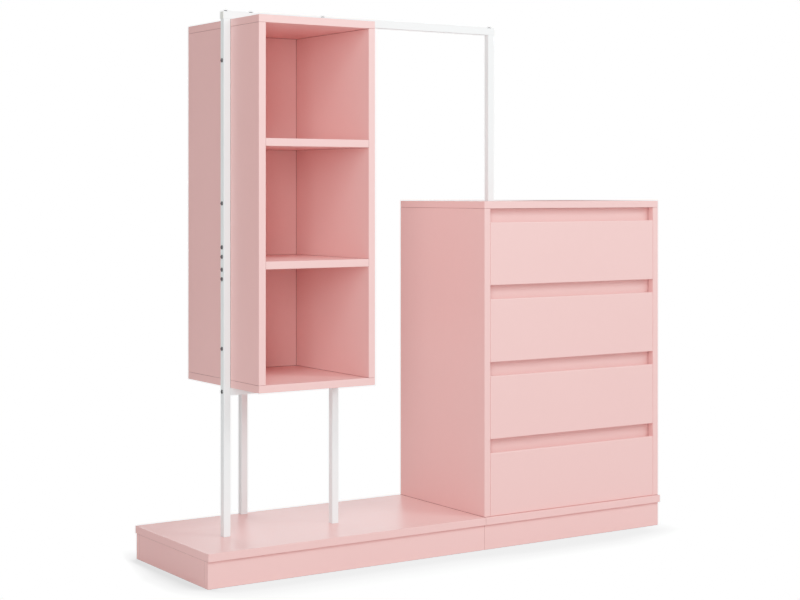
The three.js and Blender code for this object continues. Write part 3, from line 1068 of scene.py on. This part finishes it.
class FitRollers(bpy.types.Operator):
    """Add the nylon rollers and their rivets to the runners"""

    bl_idname = "wardrobe.fit_rollers"
    bl_label = "Fit rollers"

    def execute(self, context):
        lanes = {
            "left": (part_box("cabinet_side_left")[1].x, 1),
            "right": (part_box("cabinet_side_right")[0].x, -1),
        }
        front = []
        front_rivets = []
        for number, body in enumerate(DRAWERS, start=1):
            rear = []
            rear_rivets = []
            for label, (face, inwards) in lanes.items():
                lane = face + inwards * ROLLER_LANE
                low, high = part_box(f"cabinet_runner_{number}_{label}")
                middle = (lane, low.y + FRONT_ROLLER_INSET, high.z - FRONT_ROLLER_RADIUS)
                front.append((middle, (inwards, 0, 0)))
                front_rivets.append(self.rivet_place(middle, inwards))
                low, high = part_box(f"drawer_runner_{number}_{label}")
                middle = (lane, high.y - REAR_ROLLER_INSET, low.z + REAR_ROLLER_RISE)
                rear.append((middle, (inwards, 0, 0)))
                rear_rivets.append(self.rivet_place(middle, -inwards))
            self.add_rollers(body, REAR_ROLLER_RADIUS, rear, rear_rivets)
        self.add_rollers("carcass", FRONT_ROLLER_RADIUS, front, front_rivets)
        return {"FINISHED"}

    def rivet_place(self, middle, side):
        """The middle of the roller's face on that side, and the way that the face looks."""
        out = ROLLER_THICKNESS / 2 + bpy.context.scene.wardrobe_sizes.roller_rib
        return (middle[0] + side * out, middle[1], middle[2]), (side, 0, 0)

    def add_rollers(self, body, radius, places, rivets):
        """The rollers of one body, as one piece, and their rivets, as another."""
        sizes = bpy.context.scene.wardrobe_sizes
        skin = sizes.roller_skin
        rings = ribbed_roller(radius + skin, ROLLER_THICKNESS + skin, sizes.roller_rib)
        add_piece(f"{body}_rollers", rings, places, body, "roller_nylon")
        head = rivet_head(sizes.rivet_diameter)
        add_piece(f"{body}_roller_rivets", head, rivets, body, "fixing_steel")


class SetStage(bpy.types.Operator):
    """Set the floor, the lights, the tone curve and the photograph's camera"""

    bl_idname = "wardrobe.set_stage"
    bl_label = "Set stage"

    def execute(self, context):
        studio = context.scene.wardrobe_studio
        add_floor()
        add_surround(studio.surround)
        add_softbox("front_left_softbox", -40, LEVEL_RISE, studio.front_left_power)
        add_softbox("high_left_softbox", -40, HIGH_RISE, studio.high_left_power)
        add_softbox("high_right_softbox", 35, HIGH_RISE, studio.high_right_power)
        add_softbox("right_softbox", 60, LEVEL_RISE, studio.right_power)
        add_softbox("left_softbox", -100, LEVEL_RISE, studio.left_power)
        add_softbox("back_softbox", 180, LEVEL_RISE, studio.back_power)
        add_softbox("back_right_softbox", 150, LEVEL_RISE, studio.back_right_power)
        add_softbox("side_softbox", 100, LEVEL_RISE, studio.side_power)
        add_light("near_softbox", NEAR_PLACE, NEAR_TARGET, NEAR_SIZE, studio.near_power)
        set_tone_curve(context.scene.view_settings)
        context.scene.camera = add_camera()
        return {"FINISHED"}


# Stage


def level_of(tree, share):
    """The level that the tone curve shows as share: the lesser of the shoulder's own level,
    -ln(1 - share * (1 - exp(-shoulder))), and the straight line from its top to the backdrop."""
    left = calculate(tree, "MULTIPLY_ADD", share, math.exp(-SHOULDER_LEVEL) - 1, 1.0)
    log = calculate(tree, "LOGARITHM", left, math.e)
    shoulder = calculate(tree, "MULTIPLY", log, -1.0)
    steep = (BACKDROP_LEVEL - TOP_LEVEL) / (1 - shown_share(TOP_LEVEL))
    line = calculate(tree, "MULTIPLY_ADD", share, steep, BACKDROP_LEVEL - steep)
    return calculate(tree, "MINIMUM", shoulder, line)


def floor_level(tree):
    """The level of the floor that the camera sees: the backdrop's, less a painted contact shadow that
    deepens with the share of the room that is hidden near the plinth."""
    place = add_node(tree, "ShaderNodeTexCoord").outputs["Object"]
    across, along = add_node(tree, "ShaderNodeSeparateXYZ", {"Vector": place}).outputs[:2]
    # Painted contact shadow: the floor's glow is dimmed where the room round it is hidden, and faded out
    # by position at the ends and the back
    left_end = (cad_low.x - SHADOW_FADE / 4, cad_low.x + SHADOW_FADE / 4)
    right_end = (cad_high.x - 2 * SHADOW_FADE, cad_high.x)
    back_end = (cad_high.y - 2 * SHADOW_FADE, cad_high.y)
    longest = remap(tree, across, SHADOW_REACH, SHADOW_REACH_RIGHT, *right_end)
    shortest = remap(tree, along, SHADOW_REACH_END, SHADOW_REACH_BACK, *back_end)
    reach = remap(tree, across, shortest, longest, *left_end)
    deepest = remap(tree, across, 1 - SHADOW_DEPTH_END, 1 - SHADOW_DEPTH, *left_end)
    fullest = remap(tree, across, 1 - SHADOW_FULL_SHARE_END, 1 - SHADOW_FULL_SHARE, *left_end)
    room = openness(tree, reach, SHADOW_RAYS)
    open_share = remap(tree, room, 0.0, 1.0, fullest, 1 - SHADOW_START_SHARE)
    right_fade = (cad_high.x - 3 * SHADOW_FADE / 4, cad_high.x + SHADOW_FADE / 4)
    back_fade = (cad_high.y, cad_high.y + SHADOW_FADE)
    for axis, zone in ((across, right_fade), (along, back_fade)):
        fade = remap(tree, axis, 0.0, 1.0, *zone)
        open_share = calculate(tree, "MAXIMUM", open_share, fade)
    return level_of(tree, remap(tree, open_share, deepest, 1.0, 0.0, 1.0))


def show_to_camera(tree, plain, shown, output_kind):
    """The camera sees the shader shown, and everything else sees the plain one."""
    seen = add_node(tree, "ShaderNodeLightPath").outputs["Is Camera Ray"]
    inputs = {0: seen, 1: plain.outputs[0], 2: shown.outputs[0]}
    chosen = add_node(tree, "ShaderNodeMixShader", inputs)
    output = add_node(tree, output_kind)
    tree.links.new(chosen.outputs[0], output.inputs["Surface"])


def add_floor():
    """A wide pale floor. The camera sees it glow with the backdrop's white and a painted contact
    shadow, and everything else sees it plain and matt."""
    half = FLOOR_HALF
    mesh = bpy.data.meshes.new("floor")
    corners = [(-half, -half, 0), (half, -half, 0), (half, half, 0), (-half, half, 0)]
    mesh.from_pydata(corners, [], [(0, 1, 2, 3)])
    finish = bpy.data.materials.new("pale_floor")
    finish.use_nodes = True
    tree = finish.node_tree
    tree.nodes.clear()
    shown = add_node(tree, "ShaderNodeEmission", {"Color": WHITE, "Strength": floor_level(tree)})
    matt = add_node(tree, "ShaderNodeBsdfDiffuse", {"Color": FLOOR_GREY, "Roughness": 0.5})
    show_to_camera(tree, matt, shown, "ShaderNodeOutputMaterial")
    mesh.materials.append(finish)
    floor = add_object("floor", mesh)


def add_surround(brightness):
    """A room with even light of that brightness, and the backdrop's white for the camera."""
    world = bpy.data.worlds.new("pale_room")
    world.use_nodes = True
    tree = world.node_tree
    tree.nodes.clear()
    room = add_node(tree, "ShaderNodeBackground", {"Color": WHITE, "Strength": brightness})
    backdrop = add_node(tree, "ShaderNodeBackground", {"Color": WHITE, "Strength": BACKDROP_LEVEL})
    show_to_camera(tree, room, backdrop, "ShaderNodeOutputWorld")
    bpy.context.scene.world = world


def add_softbox(name, turn, rise, power):
    """A large square softbox on a sphere round the wardrobe's middle: turn degrees to the right of
    straight in front, and rise degrees over level."""
    turn = math.radians(turn)
    rise = math.radians(rise)
    place = (
        SOFTBOX_DISTANCE * math.cos(rise) * math.sin(turn),
        -SOFTBOX_DISTANCE * math.cos(rise) * math.cos(turn),
        STUDIO_MIDDLE[2] + SOFTBOX_DISTANCE * math.sin(rise),
    )
    add_light(name, place, STUDIO_MIDDLE, SOFTBOX_SIZE, power)


def add_light(name, place, target, size, power):
    """A rectangular area light of width and height size, aimed at target."""
    data = bpy.data.lights.new(name, "AREA")
    data.shape = "RECTANGLE"
    data.size, data.size_y = size
    data.energy = power
    light = add_object(name, data)
    light.location = place
    light.rotation_euler = (Vector(target) - Vector(place)).to_track_quat("-Z", "Y").to_euler()


def shown_share(level):
    """How bright a level is shown, from nought to one: (1 - exp(-level)) / (1 - exp(-shoulder))."""
    return (1 - math.exp(-level)) / (1 - math.exp(-SHOULDER_LEVEL))


def set_tone_curve(view):
    """Sets plain sRGB with the tone curve: the shoulder up to the top level, then straight on to
    white."""
    view.view_transform = "Standard"
    view.use_curve_mapping = True
    mapping = view.curve_mapping
    mapping.white_level = (WHITE_LEVEL, WHITE_LEVEL, WHITE_LEVEL)
    mapping.extend = "HORIZONTAL"
    combined = mapping.curves[3]
    for level in np.linspace(0, TOP_LEVEL, CURVE_STEPS + 1)[1:]:
        point = combined.points.new(level / WHITE_LEVEL, shown_share(level))
        point.handle_type = "AUTO_CLAMPED"
    mapping.update()


def add_camera():
    """The photograph's camera: level, with its sensor shifted so that the horizon's row is right."""
    data = bpy.data.cameras.new("photo_camera")
    data.lens = CAMERA_LENS_MM
    data.sensor_width = SENSOR_WIDTH_MM
    data.shift_y = (HORIZON_ROW - PHOTO_HEIGHT / 2) / PHOTO_WIDTH
    data.clip_end = CAMERA_REACH
    camera = add_object("photo_camera", data)
    camera.location = CAMERA_PLACE
    camera.rotation_euler = (math.pi / 2, 0, -CAMERA_TURN)
    return camera


# The add-on


class WardrobePanel(bpy.types.Panel):
    """Lists the wardrobe's sizes, colours, lights and steps"""

    bl_idname = "VIEW3D_PT_wardrobe"
    bl_label = "Wardrobe"
    bl_space_type = "VIEW_3D"
    bl_region_type = "UI"
    bl_category = "Wardrobe"

    def draw(self, context):
        layout = self.layout
        scene = context.scene
        for group in (scene.wardrobe_sizes, scene.wardrobe_colours, scene.wardrobe_studio):
            box = layout.box()
            for name in group.__annotations__:
                box.prop(group, name)
        for operator in OPERATORS:
            layout.operator(operator.bl_idname)


OPERATORS = (
    PaintBoards,
    CoatTubes,
    LacquerHardboard,
    CoatRunners,
    BoltBar,
    BoltPosts,
    CapTubes,
    PinBack,
    FitDrawers,
    FitRollers,
    SetStage,
)
CLASSES = (WardrobeColours, WardrobeSizes, WardrobeStudio, *OPERATORS, WardrobePanel)


def register():
    """Adds the classes to Blender and their settings to the scene."""
    for kind in CLASSES:
        bpy.utils.register_class(kind)
    bpy.types.Scene.wardrobe_colours = bpy.props.PointerProperty(type=WardrobeColours)
    bpy.types.Scene.wardrobe_sizes = bpy.props.PointerProperty(type=WardrobeSizes)
    bpy.types.Scene.wardrobe_studio = bpy.props.PointerProperty(type=WardrobeStudio)


def unregister():
    """Takes the settings and the classes out again."""
    del bpy.types.Scene.wardrobe_studio
    del bpy.types.Scene.wardrobe_sizes
    del bpy.types.Scene.wardrobe_colours
    for kind in reversed(CLASSES):
        bpy.utils.unregister_class(kind)


def main():
    """Registers the add-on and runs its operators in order."""
    register()
    for operator in OPERATORS:
        group, name = operator.bl_idname.split(".")
        getattr(getattr(bpy.ops, group), name)()


if __name__ == "__main__":
    main()
